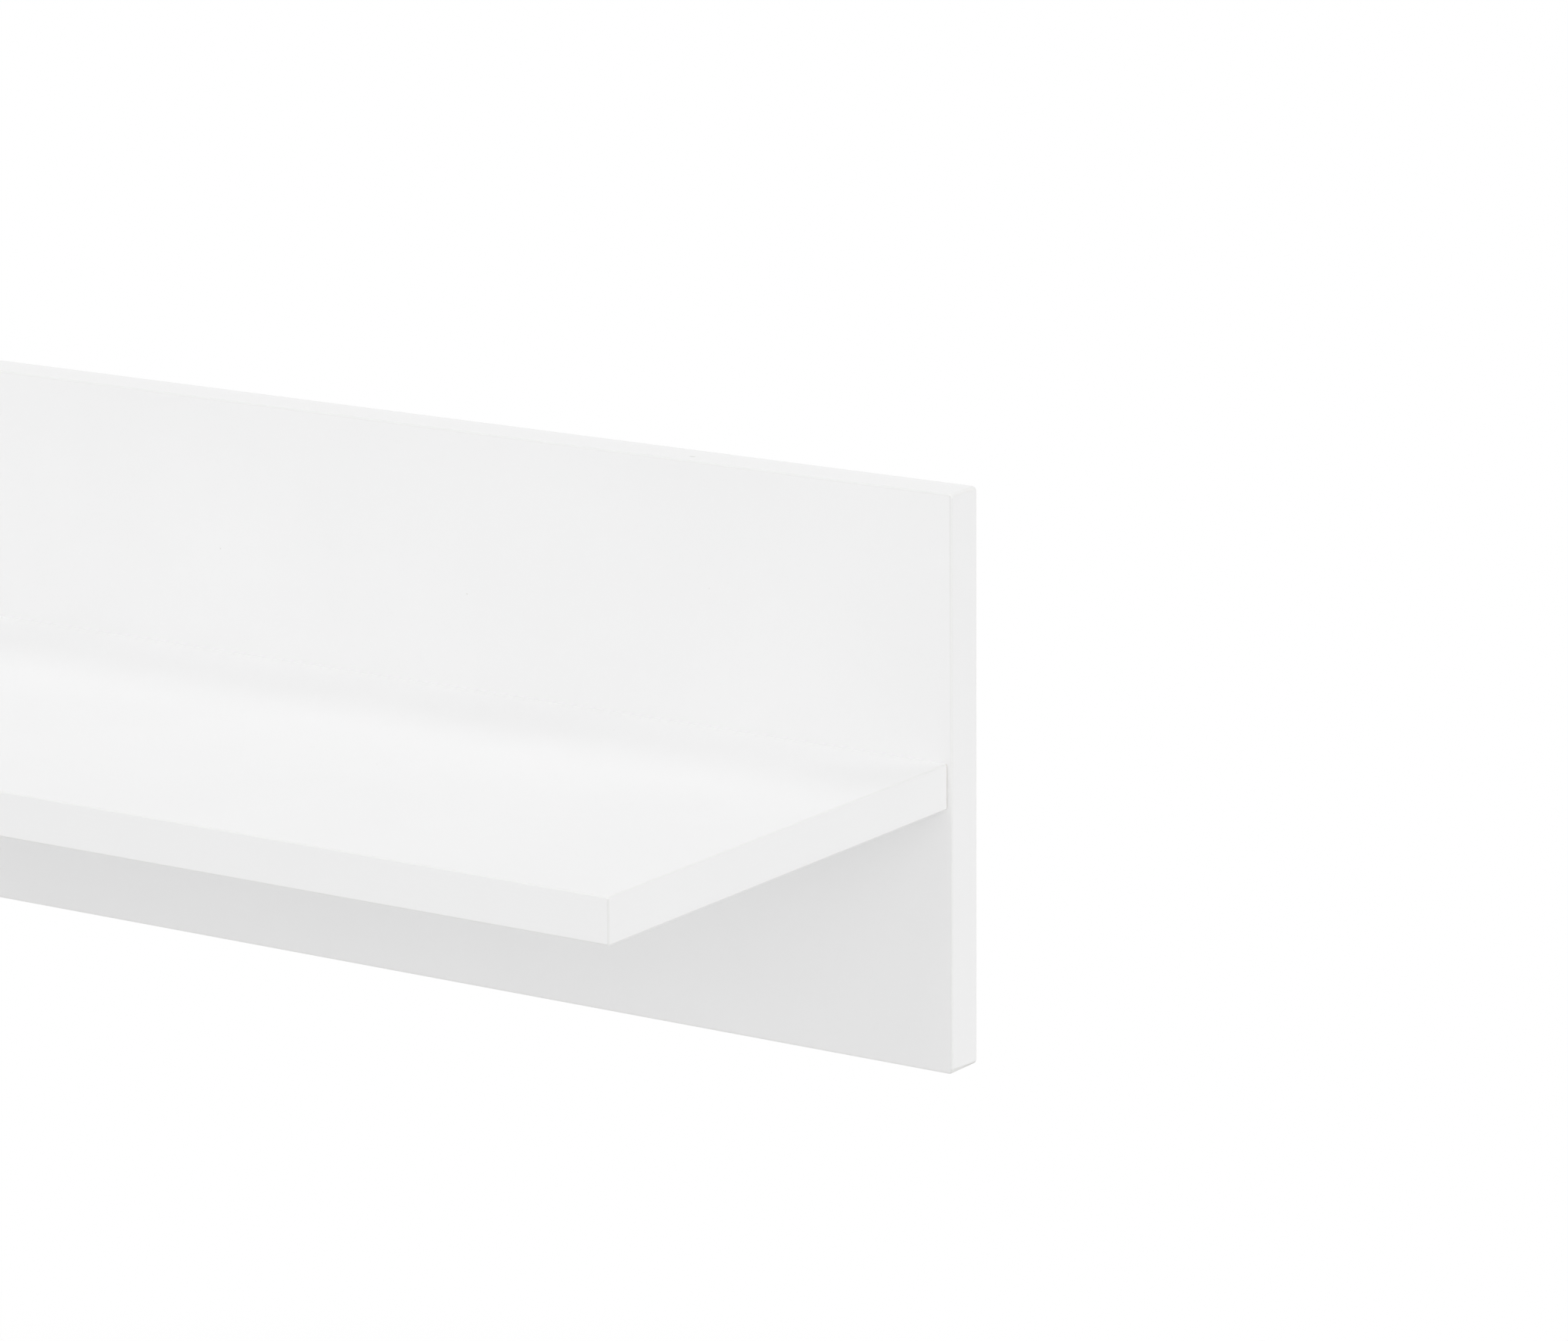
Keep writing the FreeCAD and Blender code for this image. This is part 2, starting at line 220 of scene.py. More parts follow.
def painted_shade_under_corners(material, place, sideways):
    """Mask and tone of the painted shade on the panel's lower end corners, where the rounds turn
    down: from the front to the rear it gets lower, 2.0 mm to 0.9 mm up from the foot, and darker."""
    parts = add(material, "ShaderNodeSeparateXYZ", {0: place})
    line = add(material, "ShaderNodeMapRange",
               {"Value": parts.outputs["Y"], "From Min": -0.014, "From Max": -0.003,
                "To Min": panel_foot + 0.0020, "To Max": panel_foot + 0.0009})
    over = add(material, "ShaderNodeMath", {0: parts.outputs["Z"], 1: line.outputs["Result"]},
               operation="SUBTRACT")
    under_line = add(material, "ShaderNodeMapRange",
                     {"Value": over.outputs[0], "From Min": -0.0003, "From Max": 0.0003,
                      "To Min": 1.0, "To Max": 0.0})
    on_the_end = add(material, "ShaderNodeMapRange",
                     {"Value": sideways, "From Min": 0.1, "From Max": 0.3})
    mask = add(material, "ShaderNodeMath",
               {0: under_line.outputs["Result"], 1: on_the_end.outputs["Result"]},
               operation="MULTIPLY")
    rearward = add(material, "ShaderNodeMapRange",
                   {"Value": parts.outputs["Y"], "From Min": -0.010, "From Max": -0.002})
    tone = add(material, "ShaderNodeMix",
               {0: rearward.outputs["Result"], 6: linear("#E0E0DE"), 7: linear("#B9B9B4")},
               data_type="RGBA")
    return mask.outputs[0], tone.outputs[2]


def abs_band(name, along, upright_round_shade, dent=None):
    """White ABS edge band, lined along one axis, with the tone of the painted shade on its
    rounded upright edges: satin, with a faint shimmer along its length. dent gives the
    place and the half size of a small greyed dent."""
    material, output, place = new_material(name)
    # scraper lines 0.25 mm apart, drawn out to 60 mm along the band
    stretch = [1 / 0.00025] * 3
    stretch[along] = 1 / 0.06
    lined = add(material, "ShaderNodeMapping", {"Vector": place, "Scale": stretch})
    lines = add(material, "ShaderNodeTexNoise",
                {"Vector": lined.outputs["Vector"], "Scale": 1.0, "Detail": 2.0})
    # slow change in the extrusion's tone, about 40 mm long
    drift = add(material, "ShaderNodeTexNoise",
                {"Vector": place, "Scale": 1 / 0.04, "Detail": 2.0})
    mixed = add(material, "ShaderNodeMix",
                {0: 0.5, 2: lines.outputs["Fac"], 3: drift.outputs["Fac"]}, data_type="FLOAT")
    lacquer = add(material, "ShaderNodeMix",
                  {0: mixed.outputs[0], 6: linear("#EEEEEE"), 7: linear("#F2F2F2")},
                  data_type="RGBA")
    colour = lacquer.outputs[2]
    # painted shade: darker tones on the rounded edges, and under the panel's lower end corners
    rounds, sideways = painted_shade_on_rounds(material)
    other_round_shade = linear("#EAEAE9")
    round_shade_tones = [upright_round_shade, other_round_shade, other_round_shade]
    for mask, painted_tone in [*zip(rounds, round_shade_tones), painted_shade_under_corners(material, place, sideways)]:
        layer = add(material, "ShaderNodeMix", {0: mask, 6: colour, 7: painted_tone},
                    data_type="RGBA")
        colour = layer.outputs[2]
    if dent:
        away = add(material, "ShaderNodeVectorMath", {0: place, 1: dent["place"]},
                   operation="SUBTRACT")
        shape = add(material, "ShaderNodeVectorMath", {0: away.outputs[0], 1: dent["half_size"]},
                    operation="DIVIDE")
        reach = add(material, "ShaderNodeVectorMath", {0: shape.outputs[0]}, operation="LENGTH")
        inside = add(material, "ShaderNodeMapRange",
                     {"Value": reach.outputs["Value"], "From Min": 0.6, "From Max": 1.0,
                      "To Min": 1.0, "To Max": 0.0})
        marked = add(material, "ShaderNodeMix",
                     {0: inside.outputs["Result"], 6: colour, 7: linear("#DDDDDB")},
                     data_type="RGBA")
        colour = marked.outputs[2]
    sheen = add(material, "ShaderNodeMapRange",
                {"Value": lines.outputs["Fac"], "To Min": 0.34, "To Max": 0.46})
    finish_surface(material, output, colour, sheen.outputs["Result"],
                   lines.outputs["Fac"], 0.000004, IOR=1.53)
    return material


# tones of the painted shade on the rounded edges, deeper on the shelf's than on the panel's
panel_round_shade, shelf_round_shade = linear("#E8E8E7"), linear("#E3E3E2")
dress(["back_panel_bottom_band"], abs_band("abs_band_white_lengthwise", 0, panel_round_shade))
dress(["shelf_front_band"], abs_band("abs_band_white_front", 0, shelf_round_shade))
dress(["shelf_left_band", "shelf_right_band"],
      abs_band("abs_band_white_endwise", 1, shelf_round_shade))
dress(["back_panel_left_band", "back_panel_right_band"],
      abs_band("abs_band_white_upright", 2, panel_round_shade))

# a small dent from handling, on the top, 3 mm long and 1.8 mm wide
dent_from_end, dent_from_front = 0.1094, 0.0056
top_low, top_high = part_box("back_panel_top_band")
top_dent = {"place": (top_high.x - dent_from_end, top_low.y + dent_from_front, top_high.z),
            "half_size": (0.0015, 0.0009, 0.0007)}
dress(["back_panel_top_band"],
      abs_band("abs_band_white_lengthwise_dented", 0, panel_round_shade, top_dent))


# ---- glue lines of the bands ---------------------------------------------
# Hot-melt glue squeezed out of each joint of a band and scraped almost level: an
# off-white line as wide as a hair, carried along the joint, which is what tells
# the bands from the board.

glue_line_width = 0.00010
glue_line_height = 0.00002
glue_line_sink = 0.00001
arris_radius = 0.0007
corner_radius = 0.0018


def skin(name, rings, closed, material):
    """Closed skin through a stack of rings, given as (rows, corners, 3) points: each
    row is joined to the next by quads, and the last to the first if closed; if not,
    a fan to its middle point closes each end. Edges over 35 degrees stay sharp."""
    rows, corners = rings.shape[:2]
    row = np.arange(rows if closed else rows - 1)[:, None]
    corner = np.arange(corners)[None, :]
    after, beside = (row + 1) % rows, (corner + 1) % corners
    quads = np.stack([row * corners + corner, row * corners + beside,
                      after * corners + beside, after * corners + corner], axis=-1)
    points, faces = rings.reshape(-1, 3), quads.reshape(-1, 4).tolist()
    if not closed:
        middles = rings[[0, -1]].mean(axis=1)
        points = np.vstack([points, middles])
        first, last = rows * corners, rows * corners + 1
        edge = np.arange(corners)
        turn = (edge + 1) % corners
        end = (rows - 1) * corners
        faces += np.stack([turn, edge, np.full(corners, first)], axis=-1).tolist()
        faces += np.stack([end + edge, end + turn, np.full(corners, last)], axis=-1).tolist()
    mesh = bpy.data.meshes.new(name)
    mesh.from_pydata(points.tolist(), [], faces)
    mesh.materials.append(material)
    mesh.shade_smooth()
    mesh.set_sharp_from_angle(angle=math.radians(35))
    piece = bpy.data.objects.new(name, mesh)
    bpy.context.scene.collection.objects.link(piece)
    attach(piece, "root")
    return piece


def unit(vectors):
    """Vectors divided by their own lengths."""
    return vectors / np.linalg.norm(vectors, axis=-1, keepdims=True)


def glue_line(name, path, outward, closed=False):
    """Low arch carried along a path. Its section at each point is half the width times
    cos t to the side and the height times sin t outwards, t from 0 to pi, and at a
    corner of the path the side is mitred: the sum of the two sides divided by one
    plus their product."""
    path = np.asarray(path, float)
    outward = np.broadcast_to(np.asarray(outward, float), path.shape)
    onward = unit(np.roll(path, -1, axis=0) - path)
    if not closed:
        onward[-1] = onward[-2]
    behind = np.roll(onward, 1, axis=0)
    if not closed:
        behind[0] = onward[0]
    side_after, side_before = unit(np.cross(outward, onward)), unit(np.cross(outward, behind))
    product = np.sum(side_after * side_before, axis=1, keepdims=True)
    side = (side_after + side_before) / (1 + product)
    t = np.linspace(0, math.pi, 7)[None, :, None]
    arch = (side[:, None] * glue_line_width / 2 * np.cos(t)
            + outward[:, None] * (glue_line_height * np.sin(t) - glue_line_sink))
    return skin(name, path[:, None] + arch, closed, hot_melt)


def hot_melt_glue():
    """Hot-melt glue, scraped: off-white, waxy, a little dusty along its length, and
    greyed at the panel's ends, more towards the top."""
    material, output, place = new_material("hot_melt_glue_off_white")
    # dust caught in the wax, in patches of 3 mm
    dust = add(material, "ShaderNodeTexNoise",
               {"Vector": place, "Scale": 1 / 0.003, "Detail": 3.0})
    tone = add(material, "ShaderNodeMix",
               {0: dust.outputs["Fac"], 6: linear("#F0EFED"), 7: linear("#E8E7E4")},
               data_type="RGBA")
    # grey within 0.3 mm of the facing's ends: none at mid height, full 90 mm above it
    facing_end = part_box("back_panel_front_facing")[1].x
    parts = add(material, "ShaderNodeSeparateXYZ", {0: place})
    sideways = add(material, "ShaderNodeMath", {0: parts.outputs["X"]}, operation="ABSOLUTE")
    at_end = add(material, "ShaderNodeMath",
                 {0: sideways.outputs[0], 1: facing_end, 2: 0.0003}, operation="COMPARE")
    height = add(material, "ShaderNodeMapRange",
                 {"Value": parts.outputs["Z"], "From Min": 0.0, "From Max": 0.09})
    greyed_towards_top = add(material, "ShaderNodeMath",
                  {0: at_end.outputs[0], 1: height.outputs["Result"]}, operation="MULTIPLY")
    greyed = add(material, "ShaderNodeMix",
                 {0: greyed_towards_top.outputs[0], 6: tone.outputs[2], 7: linear("#CCCBC7")},
                 data_type="RGBA")
    sheen = add(material, "ShaderNodeMapRange",
                {"Value": dust.outputs["Fac"], "To Min": 0.45, "To Max": 0.65})
    finish_surface(material, output, greyed.outputs[2], sheen.outputs["Result"],
                   dust.outputs["Fac"], 0.00001, IOR=1.48)
    return material


hot_melt = hot_melt_glue()

for side, node, outward in (("front", "back_panel_front_facing", -1),
                            ("rear", "back_panel_rear_facing", 1)):
    low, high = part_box(node)
    face = low.y if outward < 0 else high.y
    loop = [(low.x, face, low.z), (high.x, face, low.z), (high.x, face, high.z),
            (low.x, face, high.z)]
    glue_line(f"glue_line_panel_{side}", loop, (0, outward, 0), closed=True)

for side, node, outward in (("top", "shelf_top_facing", 1),
                            ("underside", "shelf_bottom_facing", -1)):
    low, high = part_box(node)
    face = high.z if outward > 0 else low.z
    run = [(low.x, high.y, face), (low.x, low.y, face), (high.x, low.y, face),
           (high.x, high.y, face)]
    glue_line(f"glue_line_shelf_{side}", run, (0, 0, outward))


def over_the_edge(low, high):
    """A line across a board's edge, over the arris at both sides: the place across the
    edge, the depth under its flat, and the turn of the surface from the flat. On an
    arris the turn goes from 80 degrees to none, and they are the radius less radius *
    sin turn, and the radius less radius * cos turn."""
    turn = np.linspace(math.radians(80), 0, 8)
    place = arris_radius * (1 - np.sin(turn))
    depth = arris_radius * (1 - np.cos(turn))
    return (np.concatenate([low + place, (high - place)[::-1]]),
            np.concatenate([depth, depth[::-1]]),
            np.concatenate([-turn, turn[::-1]]))


# The panel's end bands butt against the top and bottom ones on the rounded corners,
# butt_rise above the corner's centre. A line there lies out from the centre by the
# root of (corner radius less depth) squared less butt_rise squared.
right_low, right_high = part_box("back_panel_right_band")
corner_centre = right_high.x - corner_radius
butt_rise = right_high.z - (top_high.z - corner_radius)
y, depth, turn = over_the_edge(right_low.y, right_high.y)
reach = np.sqrt((corner_radius - depth) ** 2 - butt_rise ** 2)
slope = np.arcsin(butt_rise / (corner_radius - depth))
for end, sign in (("left", -1), ("right", 1)):
    for level, rise in (("upper", 1), ("lower", -1)):
        path = np.stack([sign * (corner_centre + reach), y, np.full_like(y, rise * right_high.z)], 1)
        outward = np.stack([sign * np.cos(slope) * np.cos(turn), np.sin(turn),
                            rise * np.sin(slope) * np.cos(turn)], 1)
        glue_line(f"glue_line_panel_{end}_{level}", path, outward)

# The shelf's end bands butt against the rear of its front one, so there the line
# crosses each end face from top to bottom.
front_low, front_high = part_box("shelf_front_band")
z, depth, turn = over_the_edge(front_low.z, front_high.z)
for end, sign in (("left", -1), ("right", 1)):
    path = np.stack([sign * (front_high.x - depth), np.full_like(z, front_high.y), z], 1)
    outward = np.stack([sign * np.cos(turn), np.zeros_like(z), np.sin(turn)], 1)
    glue_line(f"glue_line_shelf_{end}", path, outward)


# ---- dowels --------------------------------------------------------------
# Fluted beech dowels that locate the shelf and carry its shear: turned from
# straight-grained beech, compressed, and dipped in glue at assembly.

def beech():
    """Steamed beech, turned along the grain: pinkish brown with short dark ray flecks."""
    material, output, place = new_material("beech_steamed_turned")
    # grain lines 0.4 mm apart and 15 mm long, along the dowel
    drawn = add(material, "ShaderNodeMapping",
                {"Vector": place, "Scale": (1 / 0.0004, 1 / 0.015, 1 / 0.0004)})
    grain = add(material, "ShaderNodeTexNoise",
                {"Vector": drawn.outputs["Vector"], "Scale": 1.0, "Detail": 4.0})
    # ray flecks 0.3 mm wide and 2 mm long
    short = add(material, "ShaderNodeMapping",
                {"Vector": place, "Scale": (1 / 0.0008, 1 / 0.003, 1 / 0.0008)})
    rays = add(material, "ShaderNodeTexVoronoi",
               {"Vector": short.outputs["Vector"], "Scale": 1.0}, feature="F1")
    ray = add(material, "ShaderNodeMapRange",
              {"Value": rays.outputs["Distance"], "From Min": 0.12, "From Max": 0.22,
               "To Min": 0.7, "To Max": 0.0})
    wood = add(material, "ShaderNodeMix",
               {0: grain.outputs["Fac"], 6: linear("#C08D64"), 7: linear("#DDB48C")},
               data_type="RGBA")
    flecked = add(material, "ShaderNodeMix",
                  {0: ray.outputs["Result"], 6: wood.outputs[2], 7: linear("#8F5E3C")},
                  data_type="RGBA")
    sheen = add(material, "ShaderNodeMapRange",
                {"Value": grain.outputs["Fac"], "To Min": 0.50, "To Max": 0.68})
    finish_surface(material, output, flecked.outputs[2], sheen.outputs["Result"],
                   grain.outputs["Fac"], 0.00003, IOR=1.5)
    return material


dress([name for name in nodes if name.startswith("joint_dowel_")], beech())


# ---- screws --------------------------------------------------------------
# Six connecting screws, 7 x 50 mm with a hex socket, pull the shelf against the
# panel from behind, and six 3.5 x 12 mm wood screws with a cross recess hold the
# keyhole plates. All are cold-headed steel with a rolled thread, zinc plated.

def zinc_plating(name, brightness):
    """Electroplated zinc, clear passivated: a soft bluish-grey metal, faintly clouded."""
    material, output, place = new_material(name)
    # clouds in the plating, 2 mm wide
    clouds = add(material, "ShaderNodeTexNoise",
                 {"Vector": place, "Scale": 1 / 0.002, "Detail": 3.0})
    # crystals of the plating, drawn at 0.15 mm, coarser than they are, so that they show
    crystals = add(material, "ShaderNodeTexVoronoi", {"Vector": place, "Scale": 1 / 0.00015},
                   feature="F1")
    tone = add(material, "ShaderNodeMix",
               {0: clouds.outputs["Fac"], 6: linear(brightness[0]), 7: linear(brightness[1])},
               data_type="RGBA")
    sheen = add(material, "ShaderNodeMapRange",
                {"Value": clouds.outputs["Fac"], "To Min": 0.28, "To Max": 0.44})
    finish_surface(material, output, tone.outputs[2], sheen.outputs["Result"],
                   crystals.outputs["Distance"], 0.000004, Metallic=1.0)
    return material


plated_screw = zinc_plating("steel_zinc_plated_screw", ("#A9ADB2", "#C6C9CC"))


def hexagon(angle, across_flats):
    """Radius of a hexagon: half the width across flats, divided by the cosine of the
    angle from the middle of the nearest flat."""
    sixth = math.pi / 3
    return across_flats / 2 / np.cos(np.mod(angle, sixth) - sixth / 2)


def cross(angle, span, width):
    """Radius of an upright cross: the end of the nearest arm or its flank, whichever is
    nearer, where f is the angle from the arm's middle: half the span / cos f, or half
    the width / sin f."""
    quarter = math.pi / 2
    off = np.abs(np.mod(angle + quarter / 2, quarter) - quarter / 2)
    return np.minimum(span / 2 / np.cos(off), width / 2 / np.maximum(np.sin(off), 1e-9))


def threaded_screw(node, angle, recess, floor_share, sizes):
    """Screw that lies along Y with its head at the rear. Its skin is a stack of rings
    round the axis, a distance d from the head's top: the recess, the head's flat, rim
    and cone, the shank and the tip. On the thread the radius is the root's plus a
    ridge whose foot is at the pitch times the turns, so that it climbs by one pitch a
    turn, with twelve rings to a turn. floor_share is how wide the recess is at its floor."""
    low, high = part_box(node)
    head, length = (high.x - low.x) / 2, high.y - low.y
    thread_end = length - sizes["tip"]
    round_edge = head - sizes["edge"]
    start, pitch = sizes["thread_start"], sizes["pitch"]
    step = pitch / 12
    d = np.arange(start, thread_end - step / 2, step)
    flank = (pitch - sizes["crest"]) / 3
    foot = np.mod(d[:, None] - pitch * angle[None, :] / (2 * math.pi), pitch)
    ridge = np.clip(np.minimum(foot / flank, (2 * flank + sizes["crest"] - foot) / flank), 0, 1)
    fade = np.clip(np.minimum((d - start) / pitch, (thread_end - d) / pitch), 0, 1)
    thread = sizes["root"] + (sizes["shank"] - sizes["root"]) * ridge * fade[:, None]
    plain = np.array([[0, round_edge], [sizes["edge"], head], [sizes["rim"], head],
                      [sizes["rim"] + sizes["cone"], sizes["shank"]],
                      [start - sizes["edge"], sizes["shank"]]])
    tip = np.array([[thread_end, sizes["root"]], [length, sizes["point"]]])
    level = np.ones_like(angle)[None, :]
    radius = np.vstack([recess[None, :] * floor_share, recess[None, :],
                        plain[:, 1:] * level, thread, tip[:, 1:] * level])
    distance = np.concatenate([[sizes["recess"], 0], plain[:, 0], d, tip[:, 0]])
    across = np.stack([radius * np.cos(angle), radius * np.sin(angle)], -1)
    rings = np.empty((*radius.shape, 3))
    rings[..., 0] = (low.x + high.x) / 2 + across[..., 0]
    rings[..., 1] = (high.y - distance)[:, None]
    rings[..., 2] = (low.z + high.z) / 2 + across[..., 1]
    piece = skin(f"{node}_threaded", rings, False, plated_screw)
    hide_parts(node)


joint_sizes = {"edge": 0.0002, "rim": 0.0005, "cone": 0.003, "shank": 0.0035, "root": 0.0024,
               "thread_start": 0.014, "pitch": 0.003, "crest": 0.0004, "tip": 0.003,
               "point": 0.0012, "recess": 0.0028}
socket_across_flats = 0.004
steps = np.linspace(0, 2 * math.pi, 48, endpoint=False)
hex_socket = hexagon(steps, socket_across_flats)
for node in sorted(name for name in nodes if name.startswith("joint_screw_")):
    threaded_screw(node, steps, hex_socket, 1.0, joint_sizes)

plate_sizes = {"edge": 0.0001, "rim": 0.0003, "cone": 0.0016, "shank": 0.00175, "root": 0.0012,
               "thread_start": 0.0024, "pitch": 0.0015, "crest": 0.0002, "tip": 0.003,
               "point": 0.0001, "recess": 0.0012}
recess_span, recess_width, recess_taper = 0.0036, 0.0008, 0.55
# the cross needs a point at each corner of its arms and in each angle between them
arm_corner = math.atan(recess_width / recess_span)
arms = np.arange(4) * math.pi / 2
steps = np.unique(np.concatenate([np.linspace(0, 2 * math.pi, 40, endpoint=False),
                                  arms + arm_corner, arms + math.pi / 4,
                                  np.mod(arms - arm_corner, 2 * math.pi)]))
cross_recess = cross(steps, recess_span, recess_width)
for node in sorted(name for name in nodes if name.startswith("hanger_screw_")):
    threaded_screw(node, steps, cross_recess, recess_taper, plate_sizes)


# ---- glue in the joint ---------------------------------------------------
# The shelf's end bands stop a hair short of the panel. White wood glue from the
# joint fills most of that gap at each end and dries hollow, a little deeper
# towards the bottom, so a fine shaded line is left.

def wood_glue():
    """Dried white wood glue: milky, slightly yellow, with a soft shine."""
    material, output, place = new_material("wood_glue_dried")
    # shrinkage ripples 0.8 mm apart
    ripples = add(material, "ShaderNodeTexNoise",
                  {"Vector": place, "Scale": 1 / 0.0008, "Detail": 2.0})
    tone = add(material, "ShaderNodeMix",
               {0: ripples.outputs["Fac"], 6: linear("#D9D5CA"), 7: linear("#E6E3DA")},
               data_type="RGBA")
    sheen = add(material, "ShaderNodeMapRange",
                {"Value": ripples.outputs["Fac"], "To Min": 0.30, "To Max": 0.42})
    finish_surface(material, output, tone.outputs[2], sheen.outputs["Result"],
                   ripples.outputs["Fac"], 0.00003, IOR=1.46)
    return material


end_low, end_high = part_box("shelf_right_band")
gap_rear, gap_front = shelf_high.y, end_high.y
glue_depth_at_top, glue_depth_at_foot = 0.00018, 0.00028
glue_hollow, glue_end_inset = 0.00006, 0.0002
glue_inner = shelf_high.x
# across the gap the glue dries to a parabola, glue_hollow * (1 - sag squared) deep
levels = np.linspace(end_high.z - glue_end_inset, end_low.z + glue_end_inset, 9)
fall = np.linspace(0, 1, len(levels))
outer = end_high.x - glue_depth_at_top * (1 - fall) - glue_depth_at_foot * fall
sag = np.linspace(-1, 1, 7)
hollow = glue_hollow * (1 - sag ** 2)
dried = wood_glue()
for end, sign in (("left", -1), ("right", 1)):
    rings = np.empty((len(levels), len(sag) + 2, 3))
    rings[..., 2] = levels[:, None]
    rings[:, :-2, 0] = sign * (outer[:, None] - hollow)
    rings[:, :-2, 1] = (gap_rear + gap_front) / 2 + sag * (gap_rear - gap_front) / 2
    rings[:, -2:, 0] = sign * glue_inner
    rings[:, -2:, 1] = (gap_rear, gap_front)
    skin(f"joint_glue_{end}", rings[:, ::-sign], False, dried)


# ---- keyhole plates ------------------------------------------------------
# Three hanger plates let into the panel's rear: 2 mm cold-rolled strip, blanked
# and pierced in one stroke, tumbled and zinc plated. The strip's rolling lines
# run up and down.

def plated_strip():
    """Cold-rolled steel strip, zinc plated: soft metal with upright rolling lines."""
    material, output, place = new_material("steel_strip_zinc_plated")
    # rolling lines, drawn 0.3 mm apart and 40 mm long, coarser than they are
    rolled = add(material, "ShaderNodeMapping",
                 {"Vector": place, "Scale": (1 / 0.0003, 1 / 0.0003, 1 / 0.04)})
    lines = add(material, "ShaderNodeTexNoise",
                {"Vector": rolled.outputs["Vector"], "Scale": 1.0, "Detail": 3.0})
    # stains of the passivation, 8 mm wide
    stains = add(material, "ShaderNodeTexNoise",
                 {"Vector": place, "Scale": 1 / 0.008, "Detail": 4.0})
    tone = add(material, "ShaderNodeMix",
               {0: stains.outputs["Fac"], 6: linear("#A4A9AE"), 7: linear("#C3C6C8")},
               data_type="RGBA")
    streak = add(material, "ShaderNodeMapRange",
                 {"Value": lines.outputs["Fac"], "From Min": 0.45, "From Max": 0.75,
                  "To Max": 0.6})
    streaked = add(material, "ShaderNodeMix",
                   {0: streak.outputs["Result"], 6: tone.outputs[2], 7: linear("#8E9398")},
                   data_type="RGBA")
    sheen = add(material, "ShaderNodeMapRange",
                {"Value": lines.outputs["Fac"], "To Min": 0.26, "To Max": 0.52})
    finish_surface(material, output, streaked.outputs[2], sheen.outputs["Result"],
                   lines.outputs["Fac"], 0.00003, Metallic=1.0)
    return material


dress([name for name in nodes if name.startswith("hanger_plate_")], plated_strip())


# ---- floor ---------------------------------------------------------------
# A plain pale studio floor, well below the shelf, which would hang at about
# chest height. Under the shelf it is a matt sheet that takes its soft shadow, and
# farther off it turns to a white ground. From underneath it is clear.

floor_height = -1.1
floor_half_width = 30.0
matt_within, white_beyond = 1.4, 2.6
floor_corners = np.array([[-1, -1], [1, -1], [1, 1], [-1, 1]]) * floor_half_width
floor_mesh = bpy.data.meshes.new("studio_floor")
floor_mesh.from_pydata([(x, y, floor_height) for x, y in floor_corners.tolist()], [],
                       [(0, 1, 2, 3)])
studio_floor = bpy.data.objects.new("studio_floor", floor_mesh)
bpy.context.scene.collection.objects.link(studio_floor)


def seen_as_ground(material):
    """1 for rays that come straight from the camera or by way of metal or glass."""
    rays = add(material, "ShaderNodeLightPath")
    camera_or_glossy = add(material, "ShaderNodeMath",
                           {0: rays.outputs["Is Camera Ray"], 1: rays.outputs["Is Glossy Ray"]},
                           operation="MAXIMUM")
    return add(material, "ShaderNodeMath",
               {0: camera_or_glossy.outputs[0], 1: rays.outputs["Is Transmission Ray"]},
               operation="MAXIMUM").outputs[0]


paper_ground, output, place = new_material("studio_paper_white")
sheet = add(paper_ground, "ShaderNodeBsdfDiffuse", {"Color": linear("#E8E8E8")})
glow = add(paper_ground, "ShaderNodeEmission", {"Color": (1, 1, 1, 1), "Strength": 1.0})
from_shelf = add(paper_ground, "ShaderNodeVectorMath", {0: place}, operation="LENGTH")
far = add(paper_ground, "ShaderNodeMapRange",
          {"Value": from_shelf.outputs["Value"], "From Min": matt_within,
           "From Max": white_beyond}, interpolation_type="SMOOTHSTEP")
shown = add(paper_ground, "ShaderNodeMath",
            {0: far.outputs["Result"], 1: seen_as_ground(paper_ground)}, operation="MULTIPLY")
lit = add(paper_ground, "ShaderNodeMixShader",
          {0: shown.outputs[0], 1: sheet.outputs["BSDF"], 2: glow.outputs["Emission"]})
clear = add(paper_ground, "ShaderNodeBsdfTransparent")
side = add(paper_ground, "ShaderNodeNewGeometry")
one_sided = add(paper_ground, "ShaderNodeMixShader",
                {0: side.outputs["Backfacing"], 1: lit.outputs["Shader"], 2: clear.outputs["BSDF"]})
paper_ground.node_tree.links.new(one_sided.outputs["Shader"], output.inputs["Surface"])
floor_mesh.materials.append(paper_ground)


# ---- light ---------------------------------------------------------------
# A white room and six soft lamps, far enough off to light the whole length alike:
# four low ones round the front and two overhead, the rear one narrower. Together
# they are plain, so a colour renders about as written.

# what the room alone gives a white face, as a share of plain white
room_share = 0.544
room = bpy.data.worlds.new("white_room")
room.use_nodes = True
room.node_tree.nodes.clear()
room_output = add(room, "ShaderNodeOutputWorld")
ambient = add(room, "ShaderNodeBackground", {"Color": (1, 1, 1, 1), "Strength": room_share})
white = add(room, "ShaderNodeBackground", {"Color": (1, 1, 1, 1), "Strength": 1.0})
room_light = add(room, "ShaderNodeMixShader",
                 {0: seen_as_ground(room), 1: ambient.outputs[0], 2: white.outputs[0]})
room.node_tree.links.new(room_light.outputs[0], room_output.inputs["Surface"])
bpy.context.scene.world = room


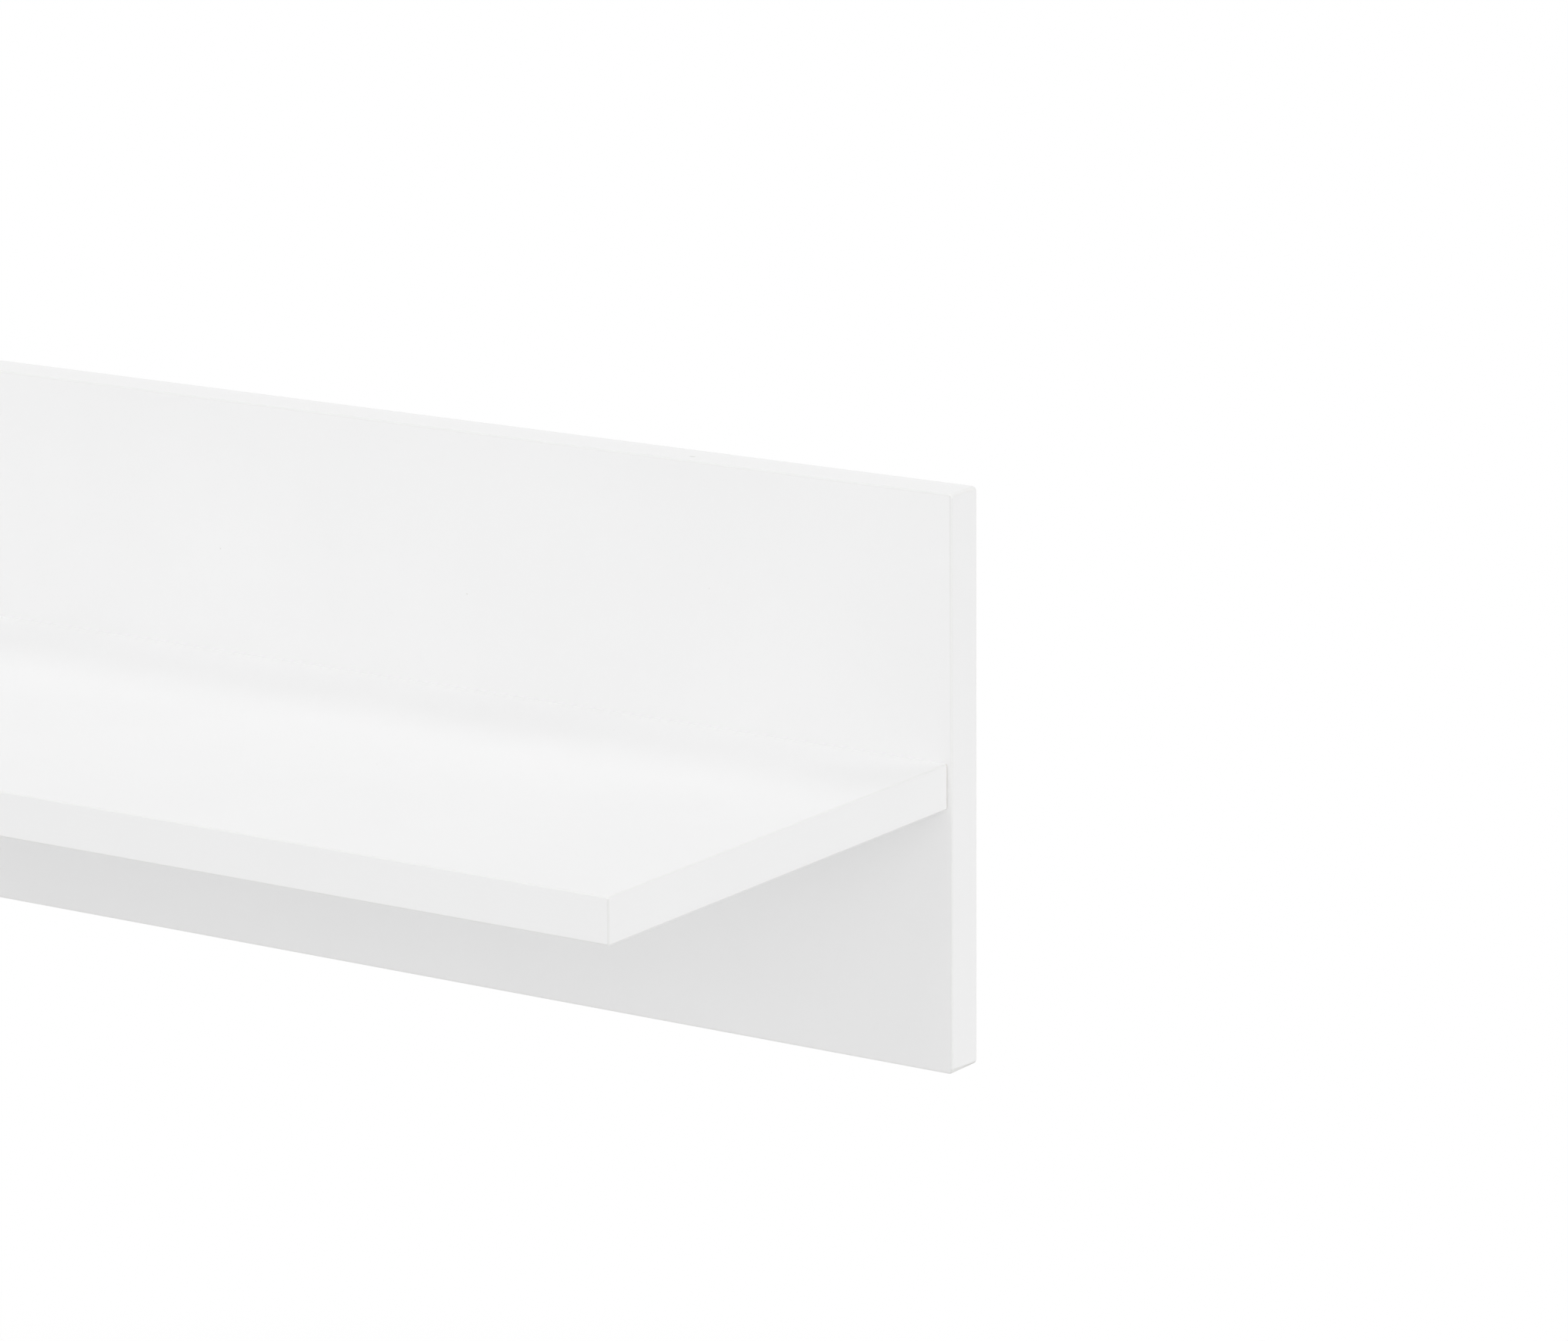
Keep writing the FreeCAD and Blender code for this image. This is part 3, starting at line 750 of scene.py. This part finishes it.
def soft_lamp(name, azimuth, elevation, share, width=50):
    """Distant lamp, that many degrees wide, at a bearing round the shelf, measured from
    its front towards its right end; a share of 1 lights a white face that looks at it up
    to plain white."""
    bearing, height = math.radians(azimuth), math.radians(elevation)
    towards = np.array([math.sin(bearing) * math.cos(height),
                        -math.cos(bearing) * math.cos(height), math.sin(height)])
    across = np.cross([0.0, 0.0, 1.0], towards)
    across = across / np.linalg.norm(across)
    turn = np.eye(4)
    turn[:3, :3] = np.array([across, np.cross(towards, across), towards]).T
    lamp = bpy.data.lights.new(name, "SUN")
    lamp.angle = math.radians(width)
    lamp.energy = math.pi * share
    holder = bpy.data.objects.new(name, lamp)
    holder.matrix_world = Matrix(turn.tolist())
    bpy.context.scene.collection.objects.link(holder)


soft_lamp("lamp_far_left", -90, 10, 0.177)
soft_lamp("lamp_front", -10, 10, 0.037)
soft_lamp("lamp_right", 30, 10, 0.199)
soft_lamp("lamp_far_right", 90, 10, 0.302)
soft_lamp("lamp_over_front", -30, 60, 0.233)
soft_lamp("lamp_over_rear", 180, 64, 0.105, width=21)


# ---- camera --------------------------------------------------------------
# A long lens looks at the right-hand end from 2.2 m off, out in front, to the right
# and above, so that the shelf runs out of the frame on the left. From straight ahead
# it is turned by yaw to the left, by pitch down and by roll about its own axis.

camera_place = (1.76787, -1.86240, 0.56855)
yaw, pitch, roll = 0.59003, 0.23681, -0.00722
camera = bpy.data.cameras.new("camera")
camera.sensor_width = 36
camera.sensor_fit = "HORIZONTAL"
camera.lens = 152.32
camera.clip_end = 100
camera_holder = bpy.data.objects.new("camera", camera)
ahead = np.array([-math.sin(yaw) * math.cos(pitch), math.cos(yaw) * math.cos(pitch),
                  -math.sin(pitch)])
level = np.array([math.cos(yaw), math.sin(yaw), 0.0])
above = np.cross(level, ahead)
pose = np.eye(4)
pose[:3, 0] = level * math.cos(roll) + above * math.sin(roll)
pose[:3, 1] = above * math.cos(roll) - level * math.sin(roll)
pose[:3, 2] = -ahead
pose[:3, 3] = camera_place
camera_holder.matrix_world = Matrix(pose.tolist())
bpy.context.scene.collection.objects.link(camera_holder)
bpy.context.scene.camera = camera_holder
bpy.context.scene.view_settings.view_transform = "Standard"
